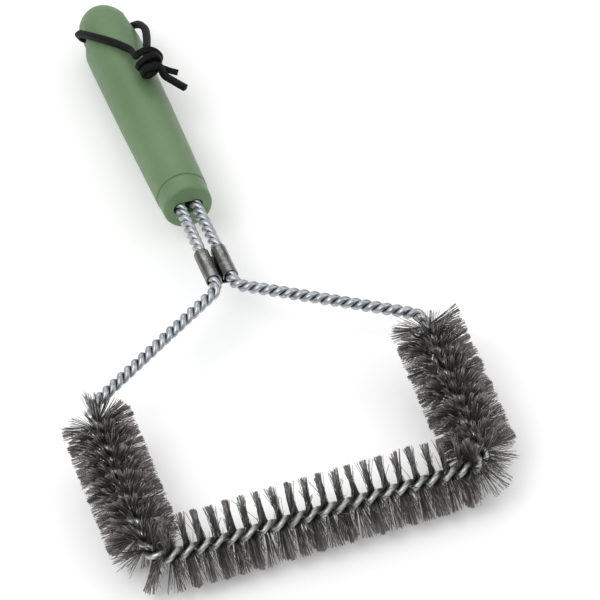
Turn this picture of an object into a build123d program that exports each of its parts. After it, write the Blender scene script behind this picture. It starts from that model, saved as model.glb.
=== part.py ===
from build123d import *
import math
import os
from typing import NamedTuple

# Three-sided grill cleaning brush: a moulded handle with a cord, two twisted-wire legs held
# by a crimped clip, and a U-shaped twisted-wire head with bristles.  Millimetres.
# Handle frame, used for modelling: Y along the handle, the head towards -Y, left is -X, and
# the clip's head-side edge at y = 0.  At the end everything is tilted about X into its rest
# pose, centred in X and Y, with the bar bristles and the handle end on z = 0.

# wire
STRAND_R = 3.46 / 2
LAY_R_PLAIN = 1.765       # helix radius of a strand centre, plain twisted wire
LAY_R_BRUSH = 1.99        # the same where bristles are clamped between the strands
PITCH_PLAIN = 11.5        # length of one full twist, plain wire
PITCH_LEFT = 17.1         # the same in the left side brush
PITCH_BAR = 16.63         # in the bar brush
PITCH_RIGHT = 17.5        # in the right side brush
TWIST_SIGN = -1.0         # left-handed twist
TWIST_PHASE = 0.35        # radians at the buried end of the left leg
BLEND_LEN = 8.0           # path length over which pitch and helix radius change
BLEND_LEAD = 2.0          # the brush lay begins this far outside the brush section
FRAME_STEP = 0.12         # largest spacing of the frames along the path
PTS_PER_TURN = 14         # spline points per twist
STRAND_PIECES = 30        # faces along each strand

# head outline (centre line of the twisted pair) before the head is bent back
LEG_END_X, LEG_END_Y = 4.02, 112.0      # buried end of each leg
VERT_X, VERT_Y = 5.14, -7.76            # bend below the clip
TOP_X, TOP_Y = 92.9, -63.3              # upper corners
BOT_X, BOT_Y = 90.7, -171.2             # lower corners
HEAD_BEND = 9.0                         # degrees, towards -Z
BEND_R_VERT = 8.5
BEND_R_TOP = 9.0
BEND_R_BOT = 9.5

# bristles: T is a tuft's size across the wire, W its size along the wire
BRISTLE_R = 20.3          # trimmed radius
TUFT_STEP = 4.2           # nominal spacing
TUFT_NECK_R = 3.5         # the tuft flares outside this radius
TUFT_NECK_T = 0.30
TUFT_NECK_W = 0.9
TUFT_TIP_T = 5.0
TUFT_TIP_W = 5.6
TIGHT_TUFT = 0.78         # tip scale of the narrow tufts
CORNER_HALF_SCALE = 0.9   # tip scale of the one-sided tufts in the lower corners
CORNER_FULL_SCALE = 0.55  # tip scale of the two-sided tufts there
IN_PLANE_LIMIT = 0.95     # above this cosine to the head normal a tuft leaves the head plane
BRUSH_START = 9.0         # first tuft, measured past the upper corner bend
CORNER_MARGIN = 0.5       # a lower corner's tufts reach this far beyond its bend
MITRE_REACH = 2.2 * BRISTLE_R   # tufts nearer a lower corner than this are mitred
MITRE_GAP = 0.25          # from the mitre plane to each side's cut
HALF_SPACE_SIZE = 200.0
MIN_TUFT_VOLUME = 1.0
SIDE_PARTS = ("upper", "middle", "lower")
BAR_PARTS = 6

# crimp clip
CLIP_LEN = 24.4
CLIP_T = 0.6
BARREL_X = 4.94
BARREL_RI = 3.70          # inside radius of each barrel
CLIP_SAMPLES = 90         # offset points along the strip

# handle
NOSE_Y = 67.3             # head-side face of the nose plug
SEAM_Y = 79.5             # parting line between nose plug and body
END_Y = 268.4             # tip of the handle
NOSE_R = 14.2
NOSE_ROUND = 1.6
SEAM_R = 14.95
BODY_R_MID = 16.4
BODY_MID_Y = 150.0
BODY_R_MAX = 17.3
BODY_MAX_Y = 238.0
END_POWER = 2.15          # exponent of the rounded end
LIP_H = 1.2               # height of the rounded lip at the seam
SHANK_R = 9.6
SHANK_END_Y = 118.0
SHANK_CHAMFER = 1.0
BORE_R = SHANK_R + 0.1
BORE_END_Y = SHANK_END_Y + 4.0
BORE_CONE_H = 3.0
MOUTH_DEPTH = 9.0         # wider part of the wire slot in the plug
HOLE_Y = 247.0            # cross hole for the cord
HOLE_D = 5.6
SCOOP_R = 40.0
SCOOP_X = 12.8            # half thickness left between the scoops
SCOOP_Y = HOLE_Y - 1.0
CUTTER_LEN = 60.0
HOLE_FILLET = 0.7
SCOOP_FILLET = 1.2
SCOOP_RIM_X = 14.5        # mean |x| of the scoop outlines
# body outline: stations up to the widest one, then fractions of the rounded end
BODY_STATIONS = (SEAM_Y + LIP_H, 100, 125, 150, 175, 200, 220, BODY_MAX_Y)
END_FRACTIONS = (0.2, 0.38, 0.55, 0.7, 0.82, 0.91, 0.97)

# cord: centre line (x, y, z) from the left end in the knot, through the hole, to the right end
CORD_D = 3.9
CORD_RUN = [
    (7.0, 178.0, 22.8), (6.6, 187.6, 21.8), (4.2, 196.6, 20.8), (0.0, 204.8, 20.3),
    (-4.5, 211.8, 19.6), (-9.0, 219.5, 18.0), (-13.5, 229.0, 14.9), (-17.1, 239.4, 9.8),
    (-17.7, 244.6, 4.0), (-14.6, HOLE_Y, 0.2), (-10.0, HOLE_Y, 0.0), (-4.0, HOLE_Y, 0.0),
    (4.0, HOLE_Y, 0.0), (10.0, HOLE_Y, 0.0), (14.4, HOLE_Y, 0.2), (18.2, 244.6, 2.6),
    (20.2, 237.4, 7.0), (20.9, 225.6, 12.2), (18.8, 211.2, 16.4), (15.4, 197.0, 20.0),
    (13.6, 187.0, 21.8), (13.0, 177.6, 22.6),
]
KNOT_CENTRE = (9.9, 173.4, 23.2)
KNOT_SIZE = (14.0, 21.0, 12.6)
KNOT_ROUND = 5.2
KNOT_TURN = 23.0          # degrees about Y, so the knot lies flat on the handle
TAIL_D = CORD_D - 0.3
# loose ends beyond the knot centre, (x, y, z)
TAILS = [
    [(17.5, 170.6, 19.4), (24.2, 168.6, 17.4)],
    [(17.0, 162.4, 19.0), (24.4, 153.4, 16.8)],
]


# ---------------------------------------------------------------------------
# vectors as plain (x, y, z) tuples
# The middle tuft sits exactly on a part boundary and halfway between two frames, so the
# order of the floating-point operations along the path decides where it goes.
# ---------------------------------------------------------------------------
def add(a, b):
    return (a[0] + b[0], a[1] + b[1], a[2] + b[2])


def sub(a, b):
    return (a[0] - b[0], a[1] - b[1], a[2] - b[2])


def mul(a, factor):
    return (a[0] * factor, a[1] * factor, a[2] * factor)


def dot(a, b):
    return a[0] * b[0] + a[1] * b[1] + a[2] * b[2]


def cross(a, b):
    return (a[1] * b[2] - a[2] * b[1], a[2] * b[0] - a[0] * b[2], a[0] * b[1] - a[1] * b[0])


def length(a):
    return math.sqrt(dot(a, a))


def unit(a):
    size = length(a)
    return (a[0] / size, a[1] / size, a[2] / size)


# ---------------------------------------------------------------------------
# rest pose
# ---------------------------------------------------------------------------
def bent(x, y):
    """A point of the flat head outline after the head is bent back at VERT_Y."""
    reach = VERT_Y - y
    bend = math.radians(HEAD_BEND)
    return (x, VERT_Y - reach * math.cos(bend), -reach * math.sin(bend))


def body_radius(y):
    """Outside radius of the handle body at station y."""
    if y <= BODY_MID_Y:
        t = (y - SEAM_Y) / (BODY_MID_Y - SEAM_Y)
        return SEAM_R + (BODY_R_MID - SEAM_R) * t
    if y <= BODY_MAX_Y:
        t = (y - BODY_MID_Y) / (BODY_MAX_Y - BODY_MID_Y)
        return BODY_R_MID + (BODY_R_MAX - BODY_R_MID) * math.sin(t * math.pi / 2)
    t = (y - BODY_MAX_Y) / (END_Y - BODY_MAX_Y)
    return BODY_R_MAX * math.sqrt(max(0.0, 1 - t ** END_POWER))


def bar_above_handle(tilt):
    """Height of the lowest bar bristle above the lowest point of the handle end."""
    cos_tilt, sin_tilt = math.cos(tilt), math.sin(tilt)
    _, bar_y, bar_z = bent(0, BOT_Y)
    bar_low = bar_y * sin_tilt + bar_z * cos_tilt - BRISTLE_R
    first_y, steps = 200.0, 199
    stations = [first_y + i * (END_Y - first_y) / steps for i in range(steps + 1)]
    return bar_low - min(y * sin_tilt - body_radius(y) * cos_tilt for y in stations)


def rest_tilt():
    """Tilt about X, in radians, that puts bar bristles and handle end on one floor."""
    low, high = math.radians(-15), math.radians(15)
    for _ in range(60):
        middle = (low + high) / 2
        if bar_above_handle(middle) > 0:
            low = middle
        else:
            high = middle
    return (low + high) / 2


# ---------------------------------------------------------------------------
# centre line of the twisted pair: straight runs and circular bends
# ---------------------------------------------------------------------------
class Run(NamedTuple):
    start: tuple
    end: tuple

    def length(self):
        return length(sub(self.end, self.start))

    def at(self, along):
        heading = unit(sub(self.end, self.start))
        return add(self.start, mul(heading, along)), heading


class Bend(NamedTuple):
    start: tuple
    heading: tuple      # direction of travel at the start
    side: tuple         # from the start towards the bend centre
    radius: float
    angle: float

    def length(self):
        return self.radius * self.angle

    def centre(self):
        return add(self.start, mul(self.side, self.radius))

    def at(self, along):
        turn = along / self.radius
        cos_turn, sin_turn = math.cos(turn), math.sin(turn)
        offset = add(mul(self.side, -self.radius * cos_turn),
                     mul(self.heading, self.radius * sin_turn))
        tangent = add(mul(self.heading, cos_turn), mul(self.side, sin_turn))
        return add(self.centre(), offset), tangent


def centre_line():
    """Run, bend, run, ... from the left leg's buried end to the right leg's."""
    left = [((-LEG_END_X, LEG_END_Y, 0.0), 0.0),
            ((-VERT_X, VERT_Y, 0.0), BEND_R_VERT),
            (bent(-TOP_X, TOP_Y), BEND_R_TOP),
            (bent(-BOT_X, BOT_Y), BEND_R_BOT)]
    right = [((-p[0], p[1], p[2]), radius) for p, radius in reversed(left)]
    corners = left + right
    segments = []
    current = corners[0][0]
    for i in range(1, len(corners) - 1):
        corner, radius = corners[i]
        heading = unit(sub(corner, corners[i - 1][0]))
        leaving = unit(sub(corners[i + 1][0], corner))
        angle = math.acos(dot(heading, leaving))
        setback = radius * math.tan(angle / 2)
        bend_start = sub(corner, mul(heading, setback))
        side = unit(sub(leaving, mul(heading, dot(heading, leaving))))
        segments.append(Run(current, bend_start))
        segments.append(Bend(bend_start, heading, side, radius, angle))
        current = add(corner, mul(leaving, setback))
    segments.append(Run(current, corners[-1][0]))
    return segments


SEGMENTS = centre_line()
STARTS = [0.0]            # path length at the start of each segment, then the total
for segment in SEGMENTS:
    STARTS.append(STARTS[-1] + segment.length())
TOTAL = STARTS[-1]

# The brush section runs between the upper corner bends.
BRUSH_IN = STARTS[4]
BRUSH_OUT = STARTS[len(SEGMENTS) - 4]
# lower corner bends and the path lengths where they begin and end
LEFT_BEND, LEFT_IN, LEFT_OUT = SEGMENTS[5], STARTS[5], STARTS[6]
RIGHT_BEND, RIGHT_IN, RIGHT_OUT = SEGMENTS[7], STARTS[7], STARTS[8]
FIRST_TUFT = BRUSH_IN + BRUSH_START
LAST_TUFT = BRUSH_OUT - BRUSH_START


def path_at(s):
    """Point and tangent of the centre line at path length s."""
    k = 0
    while k < len(SEGMENTS) - 1 and s > STARTS[k + 1]:
        k += 1
    return SEGMENTS[k].at(s - STARTS[k])


def smooth(x):
    x = max(0.0, min(1.0, x))
    return x * x * (3 - 2 * x)


def brush_share(s):
    """0 on plain wire, 1 on brush wire."""
    return (smooth((s - (BRUSH_IN - BLEND_LEAD)) / BLEND_LEN)
            * smooth(((BRUSH_OUT + BLEND_LEAD) - s) / BLEND_LEN))


def past_bend(s, bend_in, bend_out):
    """0 before the middle of a bend, 1 after it."""
    return smooth((s - ((bend_in + bend_out) / 2 - BLEND_LEN / 2)) / BLEND_LEN)


def pitch_at(s):
    brush = brush_share(s)
    bar = past_bend(s, LEFT_IN, LEFT_OUT)
    right = past_bend(s, RIGHT_IN, RIGHT_OUT)
    brush_pitch = PITCH_LEFT * (1 - bar) + PITCH_BAR * bar * (1 - right) + PITCH_RIGHT * right
    return PITCH_PLAIN * (1 - brush) + brush_pitch * brush


class Frame(NamedTuple):
    """Axes carried along the path without spin, and the twist angle so far."""
    point: tuple
    tangent: tuple
    normal: tuple
    binormal: tuple
    twist: float


def path_frames(count):
    """Frames at count equal steps along the path, both ends included."""
    frames = []
    normal = unit(cross(path_at(0.0)[1], (0.0, 0.0, 1.0)))
    twist = TWIST_PHASE
    for i in range(count + 1):
        s = TOTAL * i / count
        point, tangent = path_at(s)
        normal = unit(sub(normal, mul(tangent, dot(normal, tangent))))
        frames.append(Frame(point, tangent, normal, cross(tangent, normal), twist))
        twist += TWIST_SIGN * 2 * math.pi / pitch_at(s) * (TOTAL / count)
    return frames


FRAME_COUNT = int(math.ceil(TOTAL / FRAME_STEP))
FRAMES = path_frames(FRAME_COUNT)


# ---------------------------------------------------------------------------
# wire strands
# ---------------------------------------------------------------------------
def disc_at_start(curve, radius):
    return Face(Wire.make_circle(radius, Plane(origin=curve @ 0, z_dir=curve % 0)))


def strand_point(i, which):
    frame = FRAMES[i]
    brush = brush_share(TOTAL * i / FRAME_COUNT)
    lay = LAY_R_PLAIN * (1 - brush) + LAY_R_BRUSH * brush
    angle = frame.twist + math.pi * which
    return add(frame.point, add(mul(frame.normal, lay * math.cos(angle)),
                                mul(frame.binormal, lay * math.sin(angle))))


def strand(which):
    """One strand of the pair: 0 or 1, half a turn apart."""
    picked = [0]
    for i in range(1, FRAME_COUNT + 1):
        turned = abs(FRAMES[i].twist - FRAMES[picked[-1]].twist)
        if turned >= 2 * math.pi / PTS_PER_TURN:
            picked.append(i)
    if FRAME_COUNT - picked[-1] < 3:    # too close to the end point
        picked.pop()
    picked.append(FRAME_COUNT)
    curve = Edge.make_spline([Vector(*strand_point(i, which)) for i in picked])
    path = Wire([curve.trim(k / STRAND_PIECES, (k + 1) / STRAND_PIECES)
                 for k in range(STRAND_PIECES)])
    return sweep(disc_at_start(path, STRAND_R), path=path).solids()[0]


# ---------------------------------------------------------------------------
# bristle tufts: each is clamped between the strands and flares both ways
# ---------------------------------------------------------------------------
def tuft_direction(frame):
    """Through the gap between the strands, square to the line joining them."""
    angle = frame.twist + math.pi / 2
    return unit(add(mul(frame.normal, math.cos(angle)), mul(frame.binormal, math.sin(angle))))


def rectangle(centre, along, across, width, thickness):
    """Rectangle, width measured along the wire and thickness across it."""
    corners = []
    for i, j in ((-1, -1), (1, -1), (1, 1), (-1, 1)):
        offset = add(mul(along, i * width / 2), mul(across, j * thickness / 2))
        corners.append(Vector(*add(centre, offset)))
    return Wire.make_polygon(corners, close=True)


def tuft(frame, k, sides=(-1, 1), scale=1.0):
    """Tuft number k, flared on the given sides of the wire."""
    direction = tuft_direction(frame)
    across = cross(frame.tangent, direction)
    # Two narrow tufts alternate with two full ones.
    flare = TIGHT_TUFT if (k // 2) % 2 == 0 else 1.0
    tip = (TUFT_TIP_W * flare * scale, TUFT_TIP_T * flare * scale)
    neck = (TUFT_NECK_W, TUFT_NECK_T)
    stations = [(-TUFT_NECK_R, neck), (TUFT_NECK_R, neck)]
    if -1 in sides:
        stations.insert(0, (-BRISTLE_R, tip))
    if 1 in sides:
        stations.append((BRISTLE_R, tip))
    sections = [rectangle(add(frame.point, mul(direction, radius)), frame.tangent, across, *size)
                for radius, size in stations]
    return Solid.make_loft(sections, ruled=True)


def corner_tuft(frame, k, bend):
    """Tuft in a lower corner bend; in the head plane only its outward half has room."""
    direction = tuft_direction(frame)
    head_normal = unit(cross(sub(bent(0, BOT_Y), bent(0, TOP_Y)), (1.0, 0.0, 0.0)))
    if abs(dot(direction, head_normal)) >= IN_PLANE_LIMIT:
        return tuft(frame, k, scale=CORNER_FULL_SCALE)
    inward = unit(sub(bend.centre(), frame.point))
    outer_side = -1 if dot(direction, inward) > 0 else 1
    return tuft(frame, k, sides=(outer_side,), scale=CORNER_HALF_SCALE)


def half_space(origin, normal):
    """A big block on the positive side of a plane."""
    size = HALF_SPACE_SIZE
    plane = Plane(origin=Vector(*origin), z_dir=Vector(*normal))
    return plane * Box(size, size, size, align=(Align.CENTER, Align.CENTER, Align.MIN))


def mitred_tuft(frame, k, on_bar):
    """Tuft of a straight run, cut where side and bar brushes meet; None if nothing is left."""
    solid = tuft(frame, k)
    for hand in (-1, 1):
        corner = bent(hand * BOT_X, BOT_Y)
        if length(sub(frame.point, corner)) >= MITRE_REACH:
            continue
        to_side = unit(sub(bent(hand * TOP_X, TOP_Y), corner))
        to_bar = (-hand * 1.0, 0.0, 0.0)
        keep = unit(sub(to_side, to_bar))
        if on_bar:
            keep = mul(keep, -1)
        cut = solid & half_space(add(corner, mul(keep, MITRE_GAP)), keep)
        pieces = [] if cut is None else [p for p in cut.solids() if p.volume > MIN_TUFT_VOLUME]
        if not pieces:
            return None
        solid = max(pieces, key=lambda piece: piece.volume)
    return solid


def place_tuft(s, k):
    """Part name and solid of tuft number k at path length s."""
    frame = FRAMES[int(round(s / TOTAL * FRAME_COUNT))]
    side_third = (LEFT_IN - FIRST_TUFT) / 3
    if s < LEFT_IN - CORNER_MARGIN:
        part = min(2, int((s - FIRST_TUFT) / side_third))
        return "left_" + SIDE_PARTS[part], mitred_tuft(frame, k, on_bar=False)
    if s <= LEFT_OUT + CORNER_MARGIN:
        return "left_corner", corner_tuft(frame, k, LEFT_BEND)
    if s < RIGHT_IN - CORNER_MARGIN:
        bar_part = (RIGHT_IN - LEFT_OUT) / BAR_PARTS
        part = min(BAR_PARTS - 1, int((s - LEFT_OUT) / bar_part))
        return "bar_%d" % (part + 1), mitred_tuft(frame, k, on_bar=True)
    if s <= RIGHT_OUT + CORNER_MARGIN:
        return "right_corner", corner_tuft(frame, k, RIGHT_BEND)
    part = min(2, int((LAST_TUFT - s) / side_third))
    return "right_" + SIDE_PARTS[part], mitred_tuft(frame, k, on_bar=False)


def bristles():
    """Part name -> list of separate tuft solids."""
    count = int(round((LAST_TUFT - FIRST_TUFT) / TUFT_STEP))
    step = (LAST_TUFT - FIRST_TUFT) / count
    parts = {}
    for k in range(count + 1):
        name, solid = place_tuft(FIRST_TUFT + k * step, k)
        if solid is not None:
            parts.setdefault("bristles_" + name, []).append(solid)
    return parts


# ---------------------------------------------------------------------------
# crimp clip: one strip rolled into two barrels, its edges curled in on the +Z side
# ---------------------------------------------------------------------------
def clip():
    mid_r = BARREL_RI + CLIP_T / 2

    def on_barrel(degrees):
        angle = math.radians(degrees)
        return (-BARREL_X + mid_r * math.cos(angle), mid_r * math.sin(angle))

    # (x, z) of the left half's mid-thickness line: web on the -Z side, barrel, curled edge
    middle = [(0.0, -mid_r + 0.55), (-1.5, -mid_r + 0.45), (-3.2, -mid_r + 0.12)]
    middle += [on_barrel(-100 - i * 180 / 14) for i in range(15)]
    middle += [on_barrel(65), (-1.70, 2.35), (-1.02, 1.15), (-0.80, 0.0), (-0.62, -0.9)]
    curve = Edge.make_spline([Vector(x, 0, z) for x, z in middle],
                             tangents=[Vector(-1, 0, 0), Vector(0.2, 0, -1)])

    def offset_points(distance):
        points = []
        for i in range(CLIP_SAMPLES + 1):
            point = curve @ (i / CLIP_SAMPLES)
            tangent = curve % (i / CLIP_SAMPLES)
            size = math.hypot(tangent.X, tangent.Z)
            points.append(Vector(point.X - tangent.Z / size * distance, 0,
                                 point.Z + tangent.X / size * distance))
        return points

    face_a = offset_points(CLIP_T / 2)
    face_b = offset_points(-CLIP_T / 2)
    profile = Face(Wire([Edge.make_spline(face_a),
                         Edge.make_line(face_a[-1], face_b[-1]),
                         Edge.make_spline(face_b),
                         Edge.make_line(face_a[0], face_b[0])]))
    half = extrude(profile, amount=CLIP_LEN, dir=(0, 1, 0))
    both = half + mirror(half, about=Plane.YZ)
    # Unwrapped only if the halves fused along x = 0.
    return both.solids()[0] if len(both.solids()) == 1 else both


# ---------------------------------------------------------------------------
# handle: profiles are (x, y) with x the radius, turned about Y
# ---------------------------------------------------------------------------
def lines(*points):
    corners = [Vector(x, y, 0) for x, y in points]
    return [Edge.make_line(a, b) for a, b in zip(corners, corners[1:])]


def arc(*points):
    return Edge.make_three_point_arc(*[Vector(x, y, 0) for x, y in points])


def turned(edges):
    return revolve(Face(Wire(edges)), axis=Axis((0, 0, 0), (0, 1, 0)), revolution_arc=360)


def soften(body, wanted, least, radius):
    """Fillet the wanted edges if there are at least so many of them."""
    # Guards against a fillet the kernel cannot build: the edges then stay sharp.
    try:
        edges = [edge for edge in body.edges() if wanted(edge)]
        return fillet(edges, radius) if len(edges) >= least else body
    except Exception:
        return body


def is_hole_rim(edge):
    return (edge.geom_type != GeomType.LINE
            and abs(edge.center().Y - HOLE_Y) < 1.2
            and abs(abs(edge.center().X) - SCOOP_X) < 1.0
            and edge.length < HOLE_D * 3.6)


def is_scoop_rim(edge):
    return (abs(edge.center().Y - HOLE_Y) < 25
            and edge.length > 30
            and abs(abs(edge.center().X) - SCOOP_RIM_X) < 3.5)


def handle_body():
    stations = list(BODY_STATIONS)
    stations += [BODY_MAX_Y + t * (END_Y - BODY_MAX_Y) for t in END_FRACTIONS]
    outline = [Vector(body_radius(y), y, 0) for y in stations] + [Vector(0.0, END_Y, 0)]
    curve = Edge.make_spline(outline, tangents=[Vector(0.02, 1, 0), Vector(-1, 0, 0)])
    lip_y = SEAM_Y + LIP_H
    lip_r = body_radius(lip_y)
    lip_foot = (lip_r - 1.0, SEAM_Y + 0.15)
    bore = lines((0, END_Y), (0, BORE_END_Y + BORE_CONE_H), (BORE_R, BORE_END_Y),
                 (BORE_R, SEAM_Y), (lip_r - 1.6, SEAM_Y), lip_foot)
    lip = arc(lip_foot, (lip_r - 0.22, SEAM_Y + 0.42), (lip_r, lip_y))
    body = turned([curve, *bore, lip])
    for side in (-1, 1):
        body -= Pos(side * (SCOOP_X + SCOOP_R), SCOOP_Y, 0) * Cylinder(SCOOP_R, CUTTER_LEN)
    body -= Pos(0, HOLE_Y, 0) * Rot(0, 90, 0) * Cylinder(HOLE_D / 2, CUTTER_LEN)
    body = soften(body, is_hole_rim, least=2, radius=HOLE_FILLET)
    body = soften(body, is_scoop_rim, least=1, radius=SCOOP_FILLET)
    return body.solids()[0]


def oblong(radius, start_y, end_y, half_x):
    """Prism along Y with two round ends, centred on the handle axis."""
    plane = Plane(origin=(0, start_y, 0), x_dir=(1, 0, 0), z_dir=(0, 1, 0))
    slot = plane * SlotCenterToCenter(2 * half_x, 2 * radius)
    return extrude(slot, amount=end_y - start_y, dir=(0, 1, 0))


def nose_plug():
    """Plug that carries the legs, with a shank inside the body's bore."""
    flat_r = NOSE_R - NOSE_ROUND
    round_y = NOSE_Y + NOSE_ROUND
    slant = NOSE_ROUND * math.cos(math.radians(45))
    rim = (SEAM_R - 0.35, SEAM_Y - 0.9)
    rim_end = (SEAM_R - 1.2, SEAM_Y)
    plug = turned([
        *lines((0, NOSE_Y), (flat_r, NOSE_Y)),
        arc((flat_r, NOSE_Y), (flat_r + slant, round_y - slant), (NOSE_R, round_y)),
        *lines((NOSE_R, round_y), rim),
        arc(rim, (SEAM_R - 0.62, SEAM_Y - 0.3), rim_end),
        *lines(rim_end, (SHANK_R, SEAM_Y), (SHANK_R, SHANK_END_Y - SHANK_CHAMFER),
               (SHANK_R - SHANK_CHAMFER, SHANK_END_Y), (0, SHANK_END_Y), (0, NOSE_Y)),
    ])
    mouth_end = NOSE_Y + MOUTH_DEPTH
    plug -= oblong(radius=3.95, start_y=NOSE_Y - 1, end_y=mouth_end, half_x=4.55)
    plug -= oblong(radius=3.60, start_y=mouth_end - 1, end_y=SHANK_END_Y - 4.0, half_x=4.42)
    return plug.solids()[0]


# ---------------------------------------------------------------------------
# cord: a lace through the cross hole, both ends tied in a knot on the handle
# ---------------------------------------------------------------------------
def tube(points, diameter):
    curve = Edge.make_spline([Vector(*point) for point in points])
    return sweep(disc_at_start(curve, diameter / 2), path=Wire([curve]))


def hang_cord():
    loop = tube(CORD_RUN, CORD_D)
    knot = fillet(Box(*KNOT_SIZE).edges(), KNOT_ROUND)
    cord = loop + Pos(*KNOT_CENTRE) * Rot(0, KNOT_TURN, 0) * knot
    for tail in TAILS:
        cord = cord + tube([KNOT_CENTRE] + tail, TAIL_D)
    if len(cord.solids()) != 1:
        raise ValueError("the cord must be one piece")
    return cord.solids()[0]


# ---------------------------------------------------------------------------
# build, lay down in the rest pose, export
# ---------------------------------------------------------------------------
parts = {
    "handle_body": [handle_body()],
    "handle_nose_plug": [nose_plug()],
    "crimp_clip": [clip()],
    "core_wire_a": [strand(0)],
    "core_wire_b": [strand(1)],
    "hang_cord": [hang_cord()],
    **bristles(),
}

tilt = Rot(math.degrees(rest_tilt()), 0, 0)
laid = {name: [tilt * solid for solid in solids] for name, solids in parts.items()}
boxes = [solid.bounding_box(optimal=True) for solids in laid.values() for solid in solids]
centre_x = (min(box.min.X for box in boxes) + max(box.max.X for box in boxes)) / 2
centre_y = (min(box.min.Y for box in boxes) + max(box.max.Y for box in boxes)) / 2
shift = Pos(-centre_x, -centre_y, -min(box.min.Z for box in boxes))

os.makedirs("parts", exist_ok=True)
for name, solids in laid.items():
    placed = [shift * solid for solid in solids]
    shape = placed[0] if len(placed) == 1 else Compound(children=placed)
    export_step(shape, "parts/%s.step" % name)
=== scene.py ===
"""Wire brush with a plastic handle, a loop of twisted wire full of bristles and a lace.

Lengths are millimetres in the handle frame unless noted: X runs across (left is -X), Y along
the handle towards the hanging hole, Z up. The head lies at -Y. The row frame is in metres: the
handle frame tilted about X and shifted.
"""
import math

import bpy
import numpy as np
from mathutils import Matrix, Vector


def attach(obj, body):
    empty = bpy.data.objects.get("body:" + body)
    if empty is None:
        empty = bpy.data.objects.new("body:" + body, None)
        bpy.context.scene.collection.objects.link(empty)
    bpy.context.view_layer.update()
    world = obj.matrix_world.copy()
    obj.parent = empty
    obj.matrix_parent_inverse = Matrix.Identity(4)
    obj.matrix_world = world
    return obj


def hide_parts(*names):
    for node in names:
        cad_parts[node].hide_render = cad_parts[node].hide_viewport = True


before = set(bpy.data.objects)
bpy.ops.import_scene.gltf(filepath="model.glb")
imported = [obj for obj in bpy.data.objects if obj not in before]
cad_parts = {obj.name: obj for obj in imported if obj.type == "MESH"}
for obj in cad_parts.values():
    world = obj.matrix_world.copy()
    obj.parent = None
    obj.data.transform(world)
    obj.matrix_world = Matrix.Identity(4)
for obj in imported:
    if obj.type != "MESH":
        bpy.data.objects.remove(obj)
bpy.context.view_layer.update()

# --- handle frame to row frame ---
TILT = math.radians(-3.996120138963708)
ROW_OFFSET = np.array([0.2823, -38.3807, 34.1646])

# --- core wire: two legs, two shoulders, two sides and the bar between the corners ---
LEG_END_X, LEG_END_Y = 4.02, 112.0
NECK_X, NECK_Y = 5.14, -7.76
SHOULDER_X, SHOULDER_Y = 92.9, -63.3
CORNER_X, CORNER_Y = 90.7, -171.2
NECK_BEND_R, SHOULDER_BEND_R, CORNER_BEND_R = 8.5, 9.0, 9.5
HEAD_BEND = math.radians(9.0)  # the head drops by this angle from the neck on

# --- twist of the two strands ---
PITCH_PLAIN, PITCH_LEFT, PITCH_BAR, PITCH_RIGHT = 11.5, 17.1, 16.63, 17.5
PITCH_FADE = 8.0  # run over which one pitch turns into the next
PITCH_LEAD = 2.0  # the bristle pitch starts this far outside the sides
TWIST_SIGN, TWIST_START = -1.0, 0.35
STATION_STEP = 0.12  # longest step between computed stations


def rotate_to_row(points):
    """Turn handle-frame vectors (N, 3) to the row frame, keeping their length."""
    points = np.atleast_2d(np.asarray(points, float))
    c, s = math.cos(TILT), math.sin(TILT)
    turned = np.empty_like(points)
    turned[:, 0] = points[:, 0]
    turned[:, 1] = points[:, 1] * c - points[:, 2] * s
    turned[:, 2] = points[:, 1] * s + points[:, 2] * c
    return turned


def to_row(points):
    """Handle-frame millimetres (N, 3) to row-frame metres."""
    return (rotate_to_row(points) + ROW_OFFSET) / 1000.0


def unit(vector):
    return vector / np.linalg.norm(vector)


# ---------------------------------------------------------------------------
# core wire: centre line and twist
# ---------------------------------------------------------------------------
class Line:
    def __init__(self, start, end):
        self.start = start
        self.heading = unit(end - start)
        self.length = np.linalg.norm(end - start)

    def at(self, distance):
        return self.start + self.heading * distance, self.heading


class Arc:
    def __init__(self, start, heading, inward, radius, angle):
        self.heading, self.inward, self.radius = heading, inward, radius
        self.centre = start + inward * radius
        self.length = radius * angle

    def at(self, distance):
        c, s = math.cos(distance / self.radius), math.sin(distance / self.radius)
        point = self.centre - self.inward * (self.radius * c) + self.heading * (self.radius * s)
        return point, self.heading * c + self.inward * s


def on_head(x, y):
    """A point of the flat layout, turned down with the head."""
    reach = NECK_Y - y
    return np.array([x, NECK_Y - reach * math.cos(HEAD_BEND), -reach * math.sin(HEAD_BEND)])


def centre_line():
    """Lines and rounded bends from the left leg round the head to the right leg."""
    left = [(np.array([-LEG_END_X, LEG_END_Y, 0.0]), 0.0),
            (np.array([-NECK_X, NECK_Y, 0.0]), NECK_BEND_R),
            (on_head(-SHOULDER_X, SHOULDER_Y), SHOULDER_BEND_R),
            (on_head(-CORNER_X, CORNER_Y), CORNER_BEND_R)]
    path = left + [(point * np.array([-1, 1, 1]), radius) for point, radius in reversed(left)]
    segments, start = [], path[0][0]
    for (before, _), (point, radius), (after, _) in zip(path, path[1:], path[2:]):
        d0, d1 = unit(point - before), unit(after - point)
        angle = math.acos(np.clip(d0 @ d1, -1, 1))
        cut = radius * math.tan(angle / 2)
        bend_start = point - d0 * cut
        segments.append(Line(start, bend_start))
        segments.append(Arc(bend_start, d0, unit(d1 - d0 * (d0 @ d1)), radius, angle))
        start = point + d1 * cut
    segments.append(Line(start, path[-1][0]))
    return segments


SEGMENTS = centre_line()
STARTS = [0.0]
for segment in SEGMENTS:
    STARTS.append(STARTS[-1] + segment.length)
WIRE_LENGTH = STARTS[-1]

# Distances along the wire; each corner bend fills the gap between a side and the bar.
LEFT_START, LEFT_END, BAR_START, BAR_END, RIGHT_START, RIGHT_END = STARTS[4:10]
CORNERS = ((LEFT_END, BAR_START, SEGMENTS[5].centre), (BAR_END, RIGHT_START, SEGMENTS[7].centre))


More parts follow.
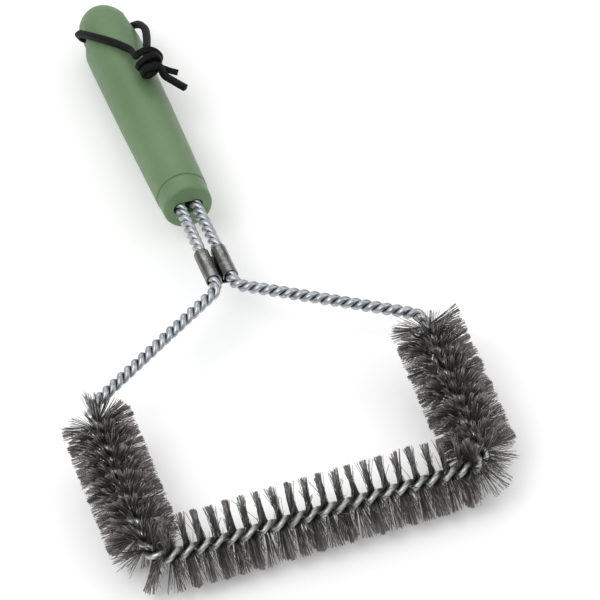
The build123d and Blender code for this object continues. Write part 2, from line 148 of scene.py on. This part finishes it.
def wire_at(s):
    """Point and tangent at distance s along the wire."""
    k = 0
    while k < len(SEGMENTS) - 1 and s > STARTS[k + 1]:
        k += 1
    return SEGMENTS[k].at(s - STARTS[k])


def ease(x):
    x = np.clip(x, 0.0, 1.0)
    return x * x * (3 - 2 * x)


def pitch_at(s):
    """Twist pitch, changing at the ends of the head and halfway round each corner."""
    head = (ease((s - (LEFT_START - PITCH_LEAD)) / PITCH_FADE)
            * ease(((RIGHT_END + PITCH_LEAD) - s) / PITCH_FADE))
    bar, right = (ease((s - ((start + end) / 2 - PITCH_FADE / 2)) / PITCH_FADE)
                  for start, end, _ in CORNERS)
    on_brush = PITCH_LEFT * (1 - bar) + PITCH_BAR * bar * (1 - right) + PITCH_RIGHT * right
    return PITCH_PLAIN * (1 - head) + on_brush * head


STEPS = int(math.ceil(WIRE_LENGTH / STATION_STEP))


def wire_stations():
    """Point, tangent, normal, binormal and twist angle at even steps along the wire."""
    _, tangent = wire_at(0.0)
    normal = unit(np.cross(tangent, (0.0, 0.0, 1.0)))
    twist = TWIST_START
    rows = []
    for i in range(STEPS + 1):
        s = WIRE_LENGTH * i / STEPS
        point, tangent = wire_at(s)
        normal = unit(normal - tangent * (tangent @ normal))
        rows.append((point, tangent, normal, np.cross(tangent, normal), twist))
        twist += TWIST_SIGN * 2 * math.pi / pitch_at(s) * (WIRE_LENGTH / STEPS)
    return map(np.array, zip(*rows))


POINTS, TANGENTS, NORMALS, BINORMALS, TWISTS = wire_stations()


def station_index(s):
    return np.clip(np.rint(np.asarray(s) / WIRE_LENGTH * STEPS).astype(int), 0, STEPS)


def across_wire(index, angle):
    """Unit directions square to the wire, at an angle from its normal."""
    return NORMALS[index] * np.cos(angle)[:, None] + BINORMALS[index] * np.sin(angle)[:, None]


# ---------------------------------------------------------------------------
# materials
# ---------------------------------------------------------------------------
class Nodes:
    """Adds shader nodes to one node tree; most calls return the new node's output."""

    def __init__(self, tree):
        self.tree = tree

    def node(self, kind, **settings):
        node = self.tree.nodes.new(kind)
        for key, value in settings.items():
            setattr(node, key, value)
        return node

    def feed(self, socket, value):
        """Set a socket to a number or an RGB colour, or link an output to it."""
        if isinstance(value, (int, float)):
            socket.default_value = value
        elif isinstance(value, tuple):
            socket.default_value = value + (1,)
        else:
            self.tree.links.new(value, socket)

    def coords(self, scale=(1, 1, 1)):
        source = self.node("ShaderNodeTexCoord")
        mapping = self.node("ShaderNodeMapping")
        mapping.inputs["Scale"].default_value = scale
        self.feed(mapping.inputs[0], source.outputs["Object"])
        return mapping.outputs[0]

    def noise(self, coords, scale, detail, roughness, distortion=0.0):
        noise = self.node("ShaderNodeTexNoise")
        noise.inputs["Scale"].default_value = scale
        noise.inputs["Detail"].default_value = detail
        noise.inputs["Roughness"].default_value = roughness
        noise.inputs["Distortion"].default_value = distortion
        self.feed(noise.inputs["Vector"], coords)
        return noise.outputs["Fac"]

    def ramp(self, factor, stops):
        """Stops are (position, grey level or RGB colour)."""
        ramp = self.node("ShaderNodeValToRGB")
        elements = ramp.color_ramp.elements
        while len(elements) < len(stops):
            elements.new(0.5)
        for element, (position, color) in zip(elements, stops):
            element.position = position
            element.color = (color if isinstance(color, tuple) else (color,) * 3) + (1,)
        self.feed(ramp.inputs[0], factor)
        return ramp.outputs[0]

    def math(self, operation, a, b, clamp=False):
        node = self.node("ShaderNodeMath", operation=operation, use_clamp=clamp)
        self.feed(node.inputs[0], a)
        self.feed(node.inputs[1], b)
        return node.outputs[0]

    def mix(self, factor, a, b, mode="MIX"):
        node = self.node("ShaderNodeMix", data_type="RGBA", blend_type=mode)
        # 6, 7 and output 2 are the colour sockets
        for socket, value in ((0, factor), (6, a), (7, b)):
            self.feed(node.inputs[socket], value)
        return node.outputs[2]

    def bump(self, height, strength, distance, normal=None):
        bump = self.node("ShaderNodeBump")
        bump.inputs["Strength"].default_value = strength
        bump.inputs["Distance"].default_value = distance
        self.feed(bump.inputs["Height"], height)
        if normal is not None:
            self.feed(bump.inputs["Normal"], normal)
        return bump.outputs[0]


class Surface(Nodes):
    """A new material with one Principled shader."""

    SOCKETS = {"color": "Base Color", "metallic": "Metallic", "roughness": "Roughness",
               "normal": "Normal", "specular": "Specular IOR Level",
               "glow_color": "Emission Color", "glow": "Emission Strength"}

    def __init__(self, name):
        self.material = bpy.data.materials.new(name)
        self.material.use_nodes = True
        super().__init__(self.material.node_tree)
        self.tree.nodes.clear()
        output = self.node("ShaderNodeOutputMaterial")
        self.shader = self.node("ShaderNodeBsdfPrincipled")
        self.feed(output.inputs[0], self.shader.outputs[0])

    def finish(self, **values):
        for key, value in values.items():
            self.feed(self.shader.inputs[self.SOCKETS[key]], value)
        return self.material


def srgb(*channels):
    """0-255 sRGB to linear RGB."""
    def linear(c):
        c = c / 255.0
        return c / 12.92 if c <= 0.04045 else ((c + 0.055) / 1.055) ** 2.4
    return tuple(linear(c) for c in channels)


def handle_material():
    m = Surface("handle_sage_plastic")
    co = m.coords()
    broad = m.noise(co, scale=22.0, detail=3.0, roughness=0.5)
    mottle = m.noise(co, scale=190.0, detail=4.0, roughness=0.6)
    grain = m.noise(co, scale=2600.0, detail=3.0, roughness=0.6)
    pore = m.noise(co, scale=5200.0, detail=2.0, roughness=0.5)
    color = m.ramp(broad, [(0.3, srgb(98, 125, 88)), (0.7, srgb(105, 131, 95))])
    color = m.mix(m.ramp(mottle, [(0.35, 0.0), (0.75, 0.22)]), color, srgb(90, 116, 82))
    color = m.mix(m.ramp(grain, [(0.45, 0.0), (0.8, 0.18)]), color, srgb(120, 144, 110))
    roughness = m.math("ADD", m.ramp(mottle, [(0.3, 0.40), (0.7, 0.50)]),
                       m.math("MULTIPLY", pore, 0.06))
    height = m.math("ADD", m.math("MULTIPLY", grain, 0.6), m.math("MULTIPLY", pore, 0.4))
    # the moulded edges are a little rounded
    soft_edge = m.node("ShaderNodeBevel", samples=4)
    soft_edge.inputs["Radius"].default_value = 0.0007
    normal = m.bump(height, strength=0.18, distance=0.00012, normal=soft_edge.outputs[0])
    return m.finish(color=color, roughness=roughness, normal=normal, specular=0.4)


def wire_material():
    m = Surface("galvanised_twisted_wire")
    co = m.coords()
    spangle = m.noise(co, scale=260.0, detail=5.0, roughness=0.65, distortion=0.6)
    fine = m.noise(co, scale=1900.0, detail=4.0, roughness=0.6)
    scuff = m.noise(co, scale=520.0, detail=3.0, roughness=0.7, distortion=1.4)
    # 0 on the bare wire, 1 under the bristles, in metres along row-frame Y
    fade_start = float(to_row(on_head(0, SHOULDER_Y))[0][1]) - 0.004
    fade_run = 0.010
    split = m.node("ShaderNodeSeparateXYZ")
    source = m.node("ShaderNodeTexCoord")
    m.feed(split.inputs[0], source.outputs["Object"])
    under = m.math("MULTIPLY", m.math("SUBTRACT", fade_start, split.outputs[1]),
                   1.0 / fade_run, clamp=True)
    bare = m.ramp(spangle, [(0.25, srgb(146, 152, 157)), (0.5, srgb(178, 183, 187)),
                            (0.75, srgb(206, 209, 211))])
    bare = m.mix(m.ramp(scuff, [(0.55, 0.0), (0.75, 0.5)]), bare, srgb(128, 135, 142))
    # under the bristles: more contrast and dull greenish scuffs
    worn = m.ramp(spangle, [(0.25, srgb(138, 144, 142)), (0.5, srgb(194, 197, 194)),
                            (0.78, srgb(236, 237, 234))])
    worn = m.mix(m.ramp(scuff, [(0.5, 0.0), (0.72, 0.65)]), worn, srgb(102, 122, 113))
    color = m.mix(under, bare, worn)
    # shade in the groove between the strands, weaker under the bristles
    occlusion = m.node("ShaderNodeAmbientOcclusion", samples=6)
    occlusion.inputs["Distance"].default_value = 0.0022
    groove = m.ramp(occlusion.outputs["AO"], [(0.15, 0.34), (0.75, 1.0)])
    color = m.mix(m.math("SUBTRACT", 1.0, m.math("MULTIPLY", under, 0.80)), color, groove,
                  "MULTIPLY")
    roughness = m.math("ADD", m.ramp(spangle, [(0.3, 0.26), (0.7, 0.40)]),
                       m.math("MULTIPLY", fine, 0.10))
    height = m.math("ADD", m.math("MULTIPLY", scuff, 0.6), m.math("MULTIPLY", fine, 0.4))
    normal = m.bump(height, strength=0.30, distance=0.00016)
    return m.finish(color=color, metallic=0.90, roughness=roughness, normal=normal)


def clip_material():
    m = Surface("crimp_stainless")
    # squeezing Y draws the streaks out along the handle
    streak = m.noise(m.coords(scale=(1.0, 0.22, 1.0)), scale=900.0, detail=5.0,
                     roughness=0.65, distortion=0.4)
    co = m.coords()
    reflection_patches = m.noise(co, scale=180.0, detail=4.0, roughness=0.6, distortion=0.8)
    dent = m.noise(co, scale=330.0, detail=2.0, roughness=0.4, distortion=0.3)
    # painted reflection: broad dark and bright patches stand in for the reflected surroundings
    color = m.ramp(reflection_patches, [(0.3, srgb(86, 86, 84)), (0.55, srgb(126, 126, 124)),
                           (0.8, srgb(172, 172, 170))])
    color = m.mix(m.ramp(streak, [(0.5, 0.0), (0.78, 0.6)]), color, srgb(54, 54, 53))
    roughness = m.ramp(streak, [(0.3, 0.20), (0.75, 0.38)])
    dented = m.bump(m.ramp(dent, [(0.25, 0.0), (0.42, 1.0)]), strength=0.30, distance=0.0004)
    normal = m.bump(streak, strength=0.12, distance=0.0001, normal=dented)
    return m.finish(color=color, metallic=1.0, roughness=roughness, normal=normal)


def bristle_material():
    m = Surface("bristle_wire")
    each = m.node("ShaderNodeNewGeometry").outputs["Random Per Island"]
    along = m.node("ShaderNodeAttribute", attribute_name="along").outputs["Fac"]
    shade = m.node("ShaderNodeAttribute", attribute_name="shade").outputs["Fac"]
    co = m.coords()
    blotch = m.noise(co, scale=120.0, detail=3.0, roughness=0.6)
    color = m.ramp(each, [(0.0, srgb(86, 82, 78)), (0.45, srgb(116, 112, 107)),
                          (0.8, srgb(142, 138, 134)), (1.0, srgb(200, 197, 193))])
    color = m.mix(m.ramp(blotch, [(0.5, 0.0), (0.8, 0.45)]), color, srgb(104, 101, 82))
    color = m.mix(m.ramp(shade, [(0.0, 0.45), (0.6, 0.0)]), color, srgb(62, 60, 57))
    # painted shade: dark near the wire, deep inside the brush; paler at the tips
    painted_root_shade = m.ramp(along, [(0.0, 0.38), (0.35, 0.68), (0.75, 1.0), (1.0, 1.0)])
    color = m.mix(1.0, color, painted_root_shade, "MULTIPLY")
    color = m.mix(m.ramp(along, [(0.82, 0.0), (1.0, 0.40)]), color, srgb(150, 144, 143))
    roughness = m.ramp(each, [(0.0, 0.52), (1.0, 0.34)])
    fine = m.noise(co, scale=3000.0, detail=2.0, roughness=0.5)
    normal = m.bump(fine, strength=0.2, distance=0.00005)
    return m.finish(color=color, metallic=0.70, roughness=roughness, normal=normal)


def lace_material():
    m = Surface("black_leather_lace")
    co = m.coords()
    grain = m.noise(co, scale=1500.0, detail=5.0, roughness=0.65)
    crease = m.node("ShaderNodeTexVoronoi", feature="DISTANCE_TO_EDGE")
    crease.inputs["Scale"].default_value = 900.0
    m.feed(crease.inputs["Vector"], co)
    worn = m.noise(co, scale=240.0, detail=3.0, roughness=0.6)
    color = m.ramp(worn, [(0.35, srgb(8, 9, 10)), (0.75, srgb(16, 16, 17))])
    color = m.mix(m.ramp(grain, [(0.5, 0.0), (0.8, 0.30)]), color, srgb(24, 24, 25))
    roughness = m.ramp(grain, [(0.3, 0.58), (0.7, 0.72)])
    height = m.math("ADD", m.ramp(crease.outputs["Distance"], [(0.0, 0.0), (0.12, 1.0)]),
                    m.math("MULTIPLY", grain, 0.7))
    normal = m.bump(height, strength=0.30, distance=0.00015)
    return m.finish(color=color, roughness=roughness, normal=normal, specular=0.16)


def floor_material():
    m = Surface("stage_floor")
    spot = m.noise(m.coords(), scale=3.0, detail=2.0, roughness=0.5)
    return m.finish(color=m.ramp(spot, [(0.3, 0.96), (0.7, 0.98)]), roughness=0.95,
                    specular=0.1, glow_color=(1, 1, 1), glow=0.07)


HANDLE, WIRE, CLIP = handle_material(), wire_material(), clip_material()
BRISTLE, LACE = bristle_material(), lace_material()


def dress_cad_piece(name, material):
    """Give a CAD piece its material and smooth shading."""
    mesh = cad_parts[name].data
    if mesh.materials:
        for i in range(len(mesh.materials)):
            mesh.materials[i] = material
    else:
        mesh.materials.append(material)
    mesh.polygons.foreach_set("use_smooth", np.ones(len(mesh.polygons), bool))
    mesh.update()


for piece, finish in (("handle_body", HANDLE), ("handle_nose_plug", HANDLE),
                      ("crimp_clip", CLIP), ("core_wire_a", WIRE), ("core_wire_b", WIRE)):
    dress_cad_piece(piece, finish)


# ---------------------------------------------------------------------------
# mesh helpers
# ---------------------------------------------------------------------------
def tube_faces(rings, sides):
    """Wall quads, first cap and last cap of a tube, as vertex indices."""
    walls = []
    for ring in range(rings - 1):
        for side in range(sides):
            a, b = ring * sides + side, ring * sides + (side + 1) % sides
            walls.append([a, b, b + sides, a + sides])
    last = (rings - 1) * sides
    return walls, list(range(sides - 1, -1, -1)), list(range(last, last + sides))


def mesh_object(name, points, faces, material, copies=1):
    """A smooth mesh of handle-frame points; the faces repeat for each copy."""
    per_copy = len(points) // copies
    shifts = np.arange(copies)[:, None] * per_copy
    corners = (np.concatenate(faces)[None, :] + shifts).ravel()
    sizes = np.tile([len(face) for face in faces], copies)
    mesh = bpy.data.meshes.new(name)
    mesh.vertices.add(len(points))
    mesh.vertices.foreach_set("co", to_row(points).astype(np.float32).ravel())
    mesh.loops.add(len(corners))
    mesh.loops.foreach_set("vertex_index", corners.astype(np.int32))
    starts = np.concatenate(([0], np.cumsum(sizes)[:-1])).astype(np.int32)
    mesh.polygons.add(len(sizes))
    mesh.polygons.foreach_set("loop_start", starts)
    mesh.polygons.foreach_set("loop_total", sizes.astype(np.int32))
    mesh.update(calc_edges=True)
    mesh.validate()
    mesh.polygons.foreach_set("use_smooth", np.ones(len(mesh.polygons), bool))
    mesh.materials.append(material)
    obj = bpy.data.objects.new(name, mesh)
    bpy.context.scene.collection.objects.link(obj)
    return obj


# ---------------------------------------------------------------------------
# bristles: fine filaments clamped between the strands, a twisted sheet of wire
# ---------------------------------------------------------------------------
SEED = 4127
BRISTLE_R = 20.3
BRUSH_START, BRUSH_END = LEFT_START + 9.0, RIGHT_END - 9.0
FIRST, LAST = BRUSH_START - 5.0, BRUSH_END + 5.0  # stations of the outermost filaments
PER_PITCH = 580

# which filaments are kept
CORNER_MARGIN, CORNER_SHARE = 1.0, 0.55
# least share kept, power of the falloff, direction in which the most are kept
BAR_SHARE, BAR_POWER, BAR_DENSE = 0.14, 2.8, np.array([0.0, 0.700, 0.714])
SIDE_SHARE, SIDE_DENSE = 0.62, np.array([0.98, -0.03, 0.19])

# Scatter of the first and the second filament ends: lean along the wire, angle in degrees,
# share kept, lean and angle of a whole clump, pull towards the clump's centre.
END_SCATTER = ((1.20, 2.6, 0.42, 1.20, 4.0, 0.66),
               (0.72, 1.5, 1.00, 0.60, 2.0, 0.50))
CLUMP_WIDTH = (0.16, 0.62)
# lengths as shares of BRISTLE_R: clump mean and scatter, filament scatter, limits
LENGTH_MEAN, LENGTH_CLUMP, LENGTH_EACH, LENGTH_LIMITS = 0.985, 0.014, 0.016, (0.86, 1.02)
CORNER_WIDEN = 2.2  # factor on the scatter in the corners
SPRAY_RUN, SPRAY_LEAN = 3.0, 4.6  # outward spray at both ends of the brush
STRAY_SHARE, STRAY_LEAN = 0.012, 4.0
INNER_COSINE, INNER_CUT = 0.3, 0.35  # shortening towards the inside of a corner

# shape of one filament
FILAMENT_R, RADIUS_SCATTER = 0.16, (0.85, 1.12)
SIDES = 3
KNOT_SHARES = np.array([0.0, 0.34, 0.68, 1.0])  # shares of the length that carry a ring
ROOT_DEPTH = 0.4
BOW, BOW_SHARE, SWING = 0.40, 0.6, 0.28  # bow along the wire and swing across it
LEAN_POWER, TURN_POWER = 1.35, 0.6  # how lean and turn grow from root to tip


def filament_stations(rng):
    """Stations of the kept filaments, and which lie in a corner."""
    count = int((LAST - FIRST) / PITCH_BAR * PER_PITCH)
    s = np.sort(rng.uniform(FIRST, LAST, count))
    keep = np.ones(count, bool)
    in_corner = np.zeros(count, bool)
    for start, end, _ in CORNERS:
        inside = (s > start - CORNER_MARGIN) & (s < end + CORNER_MARGIN)
        in_corner |= inside
        keep &= ~(inside & (rng.uniform(size=count) > CORNER_SHARE))
    # the filaments are bunched: fewer lie across the open side of each twist
    index = station_index(s)
    direction = across_wire(index, TWISTS[index] + math.pi / 2)
    on_bar = (s > BAR_START) & (s < BAR_END)
    facing = np.where(on_bar, np.abs(direction @ BAR_DENSE), np.abs(direction @ SIDE_DENSE))
    chance = np.where(on_bar, BAR_SHARE + (1 - BAR_SHARE) * facing ** BAR_POWER,
                      SIDE_SHARE + (1 - SIDE_SHARE) * facing)
    keep &= in_corner | (rng.uniform(size=count) < chance)
    return s[keep], in_corner[keep]


def filament_ends(rng, stations, in_corner, end, scatter):
    """Stations, root and tip directions, length, lean and clump shade of one set of ends."""
    lean_each, angle_each, share, lean_clump, angle_clump, pull = scatter
    take = rng.uniform(size=len(stations)) < share
    s = stations[take]
    count = len(s)
    index = station_index(s)
    # clumps of neighbouring filaments lean together and close up at the tips
    edges = [FIRST]
    while edges[-1] < LAST:
        edges.append(edges[-1] + rng.uniform(*CLUMP_WIDTH))
    edges = np.array(edges)
    clump = np.searchsorted(edges, s) - 1
    clump_lean = rng.normal(0, lean_clump, len(edges))[clump]
    clump_angle = rng.normal(0, angle_clump, len(edges))[clump]
    clump_length = rng.normal(LENGTH_MEAN, LENGTH_CLUMP, len(edges))[clump]
    centre = (edges[clump] + edges[clump + 1]) / 2
    twist = TWISTS[index] + pull * (TWISTS[station_index(centre)] - TWISTS[index])
    widen = np.where(in_corner[take], CORNER_WIDEN, 1.0)
    tip_angle = twist + math.pi / 2 + end * math.pi + np.radians(
        (rng.normal(0, angle_each, count) + clump_angle) * widen)
    root = across_wire(index, TWISTS[index] + math.pi / 2 + end * math.pi)
    tip = across_wire(index, tip_angle)
    length = BRISTLE_R * np.clip(clump_length + rng.normal(0, LENGTH_EACH, count),
                                 *LENGTH_LIMITS)
    lean = (rng.normal(0, lean_each, count) + clump_lean) * widen + pull * (centre - s)
    # the first and last filaments spray out along the wire
    near_first = np.clip(1 - (s - FIRST) / SPRAY_RUN, 0, 1)
    near_last = np.clip(1 - (LAST - s) / SPRAY_RUN, 0, 1)
    lean = (lean - near_first * rng.uniform(0.0, SPRAY_LEAN, count)
            + near_last * rng.uniform(0.0, SPRAY_LEAN, count))
    stray = rng.uniform(size=count) < STRAY_SHARE
    lean = np.where(stray, lean + rng.normal(0, STRAY_LEAN, count), lean)
    # inside a tight bend the inner ends have no room and stay short
    for start, stop, bend_centre in CORNERS:
        inward = bend_centre[None, :] - POINTS[index]
        inward /= np.linalg.norm(inward, axis=1)[:, None]
        cosine = np.einsum("ij,ij->i", tip, inward)
        inner = (s > start) & (s < stop) & (cosine > INNER_COSINE)
        length = np.where(inner, length * (1 - INNER_CUT * cosine), length)
    return s, index, root, tip, length, lean, rng.uniform(0, 1, len(edges))[clump]


def filament_rings(rng, index, root, tip, length, lean):
    """Ring vertices (filament, knot, side, xyz) round the bowed filaments."""
    count = len(index)
    tangent = TANGENTS[index]
    base = POINTS[index] - root * ROOT_DEPTH
    bow = rng.normal(0, BOW, count)
    across = np.cross(tangent, tip)
    swing = rng.normal(0, SWING, count)
    knots = np.empty((count, len(KNOT_SHARES), 3))
    for k, u in enumerate(KNOT_SHARES):
        belly = math.sin(math.pi * u)
        direction = root * (1 - u ** TURN_POWER) + tip * u ** TURN_POWER
        shift = lean * (u ** LEAN_POWER) + bow * belly * BOW_SHARE
        knots[:, k] = (base + direction * (length * u)[:, None] + tangent * shift[:, None]
                       + across * (swing * belly)[:, None])
    radius = FILAMENT_R * rng.uniform(*RADIUS_SCATTER, count)
    turn = rng.uniform(0, 2 * math.pi, count)
    axis = knots[:, -1] - knots[:, 0]
    axis /= np.linalg.norm(axis, axis=1)[:, None]
    e1 = np.cross(axis, tangent + 0.01)  # nudged so that it is never parallel
    e1 /= np.linalg.norm(e1, axis=1)[:, None]
    e2 = np.cross(axis, e1)
    rings = np.empty((count, len(KNOT_SHARES), SIDES, 3))
    for side in range(SIDES):
        a = turn + 2 * math.pi * side / SIDES
        offset = (e1 * np.cos(a)[:, None] + e2 * np.sin(a)[:, None]) * radius[:, None]
        rings[:, :, side] = knots + offset[:, None, :]
    return rings


def cad_piece(s):
    """Name of the CAD piece that a filament at station s belongs to."""
    def part(distance, length, parts):
        return int(np.clip(distance / (length / parts), 0, parts - 1))

    thirds = ("upper", "middle", "lower")
    side_length = LEFT_END - BRUSH_START
    if s < LEFT_END:
        return "bristles_left_" + thirds[part(s - BRUSH_START, side_length, 3)]
    if s <= BAR_START:
        return "bristles_left_corner"
    if s < BAR_END:
        return "bristles_bar_%d" % (1 + part(s - BAR_START, BAR_END - BAR_START, 6))
    if s <= RIGHT_START:
        return "bristles_right_corner"
    return "bristles_right_" + thirds[part(BRUSH_END - s, side_length, 3)]


def build_bristles():
    rng = np.random.default_rng(SEED)
    stations, in_corner = filament_stations(rng)
    ends = [filament_ends(rng, stations, in_corner, end, scatter)
            for end, scatter in enumerate(END_SCATTER)]
    groups = {}
    for s, *shape, shade in ends:
        rings = filament_rings(rng, *shape)
        names = np.array([cad_piece(v) for v in s])
        for name in np.unique(names):
            groups.setdefault(name, []).append((rings[names == name], shade[names == name]))
    walls, root_cap, tip_cap = tube_faces(len(KNOT_SHARES), SIDES)
    for name, parts in groups.items():
        rings, shades = (np.concatenate(column) for column in zip(*parts))
        obj = mesh_object(name + "_filaments", rings.reshape(-1, 3),
                          walls + [tip_cap, root_cap], BRISTLE, copies=len(rings))
        # along: 0 at the wire, 1 at the tip; shade: one value per clump
        for label, values in (("along", np.tile(np.repeat(KNOT_SHARES, SIDES), len(rings))),
                              ("shade", np.repeat(shades, len(KNOT_SHARES) * SIDES))):
            attribute = obj.data.attributes.new(label, "FLOAT", "POINT")
            attribute.data.foreach_set("value", values.astype(np.float32))
        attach(obj, "brush")
        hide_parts(name)


build_bristles()

# ---------------------------------------------------------------------------
# hanging cord: squarish leather lace with a tied knot and two tails
# ---------------------------------------------------------------------------
HOLE_Y = 247.0
LACE_WIDTH, LACE_THICK = 4.1, 3.6
LACE_SIDES, LACE_SQUARENESS = 20, 0.42  # a lower power makes a squarer section
LACE_UP = (0.2, 0.3, 1.0)  # thickness direction at the start
SPLINE_STEPS = 9
KNOT_CENTRE = np.array([9.9, 173.4, 23.2])
KNOT_TURN = math.radians(23.0)  # about Y

# Handle-frame x, y, z: from each mouth of the hole to the knot, and from the knot outwards
HOLE_RUN = [(-4.0, HOLE_Y, 0.0), (4.0, HOLE_Y, 0.0)]
CORD_LEFT = [
    (-10.0, HOLE_Y, 0.0), (-13.9, HOLE_Y, 0.4), (-16.5, 245.6, 4.2), (-16.8, 240.4, 9.6),
    (-13.5, 229.0, 14.9), (-9.0, 219.5, 18.0), (-4.5, 211.8, 19.6), (0.0, 204.8, 20.3),
    (4.2, 196.6, 20.9)]
CORD_RIGHT = [
    (10.0, HOLE_Y, 0.0), (14.4, HOLE_Y, 0.2), (18.0, 244.6, 2.6), (19.6, 237.4, 7.0),
    (20.0, 225.6, 12.2), (17.8, 211.2, 16.6), (14.4, 197.0, 20.2)]
WRAP_TAIL = [(16.2, 164.6, 20.4), (19.6, 159.8, 18.8), (25.0, 152.8, 16.6)]
CORE_TAIL = [(16.4, 171.6, 21.0), (20.4, 169.9, 19.0), (24.8, 168.2, 17.2)]

# Knot frame (across, along the handle, away from it): the left cord wraps the bundle in
# three bands, the right one runs through the middle.
WRAP = [
    (-4.6, 12.4, -1.6), (-5.0, 9.4, 1.8), (-0.6, 8.9, 5.3), (4.6, 8.6, 4.5), (8.2, 8.2, 1.0),
    (5.6, 6.6, -3.4), (0.4, 4.4, -4.7), (-4.9, 2.0, -2.9), (-5.9, 0.2, 1.2), (-2.3, 0.9, 5.1),
    (3.0, 2.9, 5.3), (6.1, 2.9, 1.6), (4.5, 0.6, -3.2), (0.0, -2.6, -4.5), (-4.6, -5.2, -2.6),
    (-5.4, -7.0, 1.0), (-2.0, -7.8, 4.4), (2.6, -7.2, 4.6)]
CORE = [
    (2.2, 12.6, -0.8), (1.8, 7.0, 1.2), (1.9, 0.0, 1.4), (1.2, -5.6, 0.9), (-2.0, -8.4, -0.6),
    (-3.0, -4.4, 0.1), (-2.4, 1.6, 0.6), (-0.8, 5.6, -1.2), (2.0, 4.6, -1.8),
    (3.8, -0.6, -0.4)]


def spline(points):
    """Centripetal Catmull-Rom through the points."""
    def blend(p, q, start, end):
        return (end - t) / (end - start) * p + (t - start) / (end - start) * q

    p = [np.array(q, float) for q in points]
    p = [2 * p[0] - p[1]] + p + [2 * p[-1] - p[-2]]
    curve = []
    for p0, p1, p2, p3 in zip(p, p[1:], p[2:], p[3:]):
        t0 = 0.0
        t1 = t0 + np.linalg.norm(p1 - p0) ** 0.5
        t2 = t1 + np.linalg.norm(p2 - p1) ** 0.5
        t3 = t2 + np.linalg.norm(p3 - p2) ** 0.5
        for k in range(SPLINE_STEPS):
            t = t1 + (t2 - t1) * k / SPLINE_STEPS
            middle = blend(p1, p2, t1, t2)
            before = blend(blend(p0, p1, t0, t1), middle, t0, t2)
            after = blend(middle, blend(p2, p3, t2, t3), t1, t3)
            curve.append(blend(before, after, t1, t2))
    curve.append(p[-2])
    return np.array(curve)


def from_knot(points):
    """Knot-frame points to the handle frame."""
    c, s = math.cos(KNOT_TURN), math.sin(KNOT_TURN)
    return [KNOT_CENTRE + np.array([x * c + z * s, y, -x * s + z * c]) for x, y, z in points]


def lace_section():
    """Rounded rectangle as (across, up) offsets."""
    def squared(value):
        return math.copysign(abs(value) ** LACE_SQUARENESS, value)

    angles = [2 * math.pi * k / LACE_SIDES for k in range(LACE_SIDES)]
    return [(LACE_WIDTH / 2 * squared(math.cos(a)), LACE_THICK / 2 * squared(math.sin(a)))
            for a in angles]


def build_cord():
    curve = spline(WRAP_TAIL[::-1] + from_knot(WRAP[::-1]) + CORD_LEFT[::-1] + HOLE_RUN
                   + CORD_RIGHT + from_knot(CORE) + CORE_TAIL)
    tangents = np.gradient(curve, axis=0)
    tangents /= np.linalg.norm(tangents, axis=1)[:, None]
    section = lace_section()
    up = np.array(LACE_UP)
    points = []
    for point, tangent in zip(curve, tangents):
        up = unit(up - tangent * (up @ tangent))
        right = np.cross(tangent, up)
        points += [point + right * x + up * y for x, y in section]
    walls, first_cap, last_cap = tube_faces(len(curve), LACE_SIDES)
    obj = mesh_object("hang_cord_lace", np.array(points), walls + [first_cap, last_cap], LACE)
    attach(obj, "cord")
    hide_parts("hang_cord")


build_cord()

# ---------------------------------------------------------------------------
# stage: floor, world, lights and camera (metres, row frame)
# ---------------------------------------------------------------------------
FLOOR_HALF, FLOOR_Z = 6, -0.0004
WORLD_STRENGTH = 0.78

# Camera place and axes in the handle frame: above the head end, looking along the handle
CAMERA_PLACE = (-276.11, -1377.13, 1179.06)
CAMERA_RIGHT = (0.94908, -0.30094, -0.09318)
CAMERA_UP = (0.26464, 0.60111, 0.75408)


def build_floor():
    mesh = bpy.data.meshes.new("stage_floor")
    corners = [(x * FLOOR_HALF, y * FLOOR_HALF, FLOOR_Z)
               for x, y in ((-1, -1), (1, -1), (1, 1), (-1, 1))]
    mesh.from_pydata(corners, [], [(0, 1, 2, 3)])
    floor = bpy.data.objects.new("stage_floor", mesh)
    mesh.materials.append(floor_material())
    bpy.context.scene.collection.objects.link(floor)


def build_world():
    """Grey at the horizon, white overhead."""
    world = bpy.data.worlds.new("studio")
    bpy.context.scene.world = world
    world.use_nodes = True
    background = world.node_tree.nodes["Background"]
    n = Nodes(world.node_tree)
    source = n.node("ShaderNodeTexCoord")
    split = n.node("ShaderNodeSeparateXYZ")
    n.feed(split.inputs[0], source.outputs["Generated"])
    sky = n.ramp(split.outputs[2], [(0.0, (0.34, 0.35, 0.36)), (0.8, (1.0, 1.0, 1.0))])
    n.feed(background.inputs[0], sky)
    background.inputs[1].default_value = WORLD_STRENGTH


def area_light(name, place, target, size, watts):
    light = bpy.data.lights.new(name, "AREA")
    light.shape = "RECTANGLE"
    light.size, light.size_y = size
    light.energy = watts
    obj = bpy.data.objects.new(name, light)
    obj.location = place
    obj.rotation_mode = "QUATERNION"
    obj.rotation_quaternion = (Vector(target) - Vector(place)).to_track_quat("-Z", "Y")
    bpy.context.scene.collection.objects.link(obj)


def build_camera():
    data = bpy.data.cameras.new("cam")
    camera = bpy.data.objects.new("cam", data)
    bpy.context.scene.collection.objects.link(camera)
    right = Vector(rotate_to_row(CAMERA_RIGHT)[0]).normalized()
    up = Vector(rotate_to_row(CAMERA_UP)[0])
    up = (up - right * up.dot(right)).normalized()
    pose = Matrix((right, up, right.cross(up))).transposed().to_4x4()
    pose.translation = Vector(to_row(CAMERA_PLACE)[0])
    camera.matrix_world = pose
    data.sensor_width = 36.0
    data.lens = 201.0
    data.clip_start, data.clip_end = 0.05, 50.0
    bpy.context.scene.camera = camera


build_floor()
build_world()
area_light("key", place=(-0.9, -0.5, 1.5), target=(0, 0, 0), size=(1.2, 1.2), watts=12.8)
area_light("fill", place=(1.2, -0.8, 0.9), target=(0, 0, 0), size=(1.2, 0.9), watts=4.2)
area_light("back", place=(0.2, 1.3, 1.1), target=(0, 0.05, 0), size=(1.6, 0.6), watts=4.6)
build_camera()
bpy.context.scene.view_settings.view_transform = "Standard"
